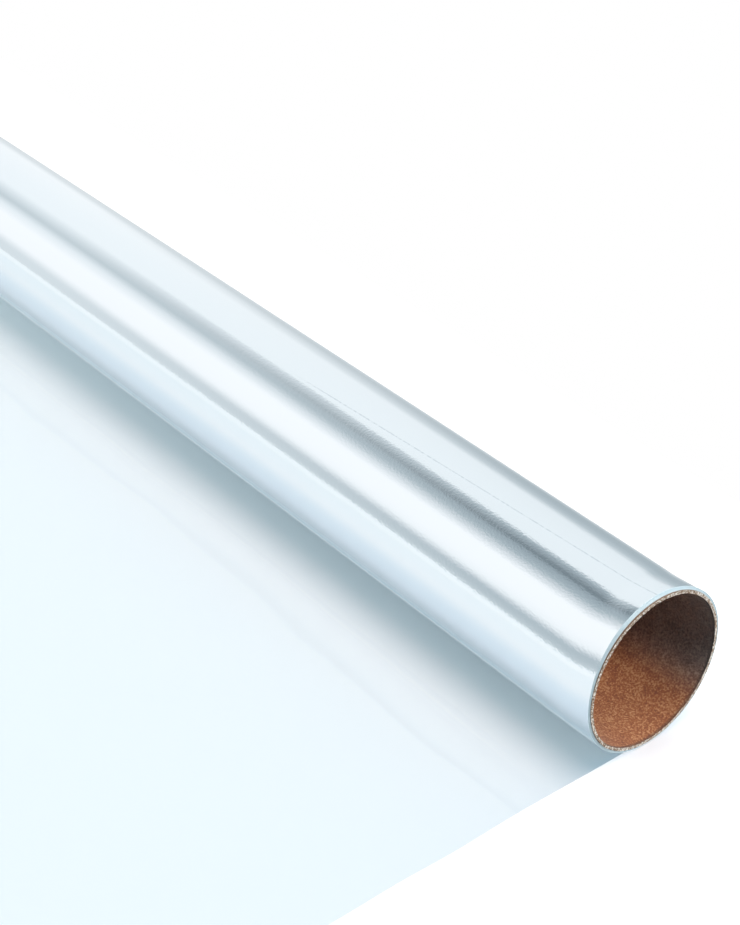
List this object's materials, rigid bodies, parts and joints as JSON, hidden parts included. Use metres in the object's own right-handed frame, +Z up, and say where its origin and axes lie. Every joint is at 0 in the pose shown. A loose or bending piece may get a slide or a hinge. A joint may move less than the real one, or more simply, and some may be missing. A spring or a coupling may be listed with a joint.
{
  "type": "cellophane roll",
  "caption": "Clear cellophane film wound on a kraft paperboard core, lying down with the free end of the film drawn out flat in front.",
  "frame": {"origin": "middle of the bottom of the whole object, on the surface it lies on", "axes": "+X along the roll, +Z up, and the film is drawn out towards -Y"},
  "size_m": [0.7026, 0.2637, 0.0476],
  "materials": {
    "core_board": "brown kraft board, matt and fibrous, with pale rough-cut ends",
    "clear_film": "clear glossy film with a faint blue cast, silvery where many turns lie on each other"
  },
  "bodies": {
    "root": {"core_tube": "core_board", "cellophane_film": "clear_film"}
  },
  "joints": []
}
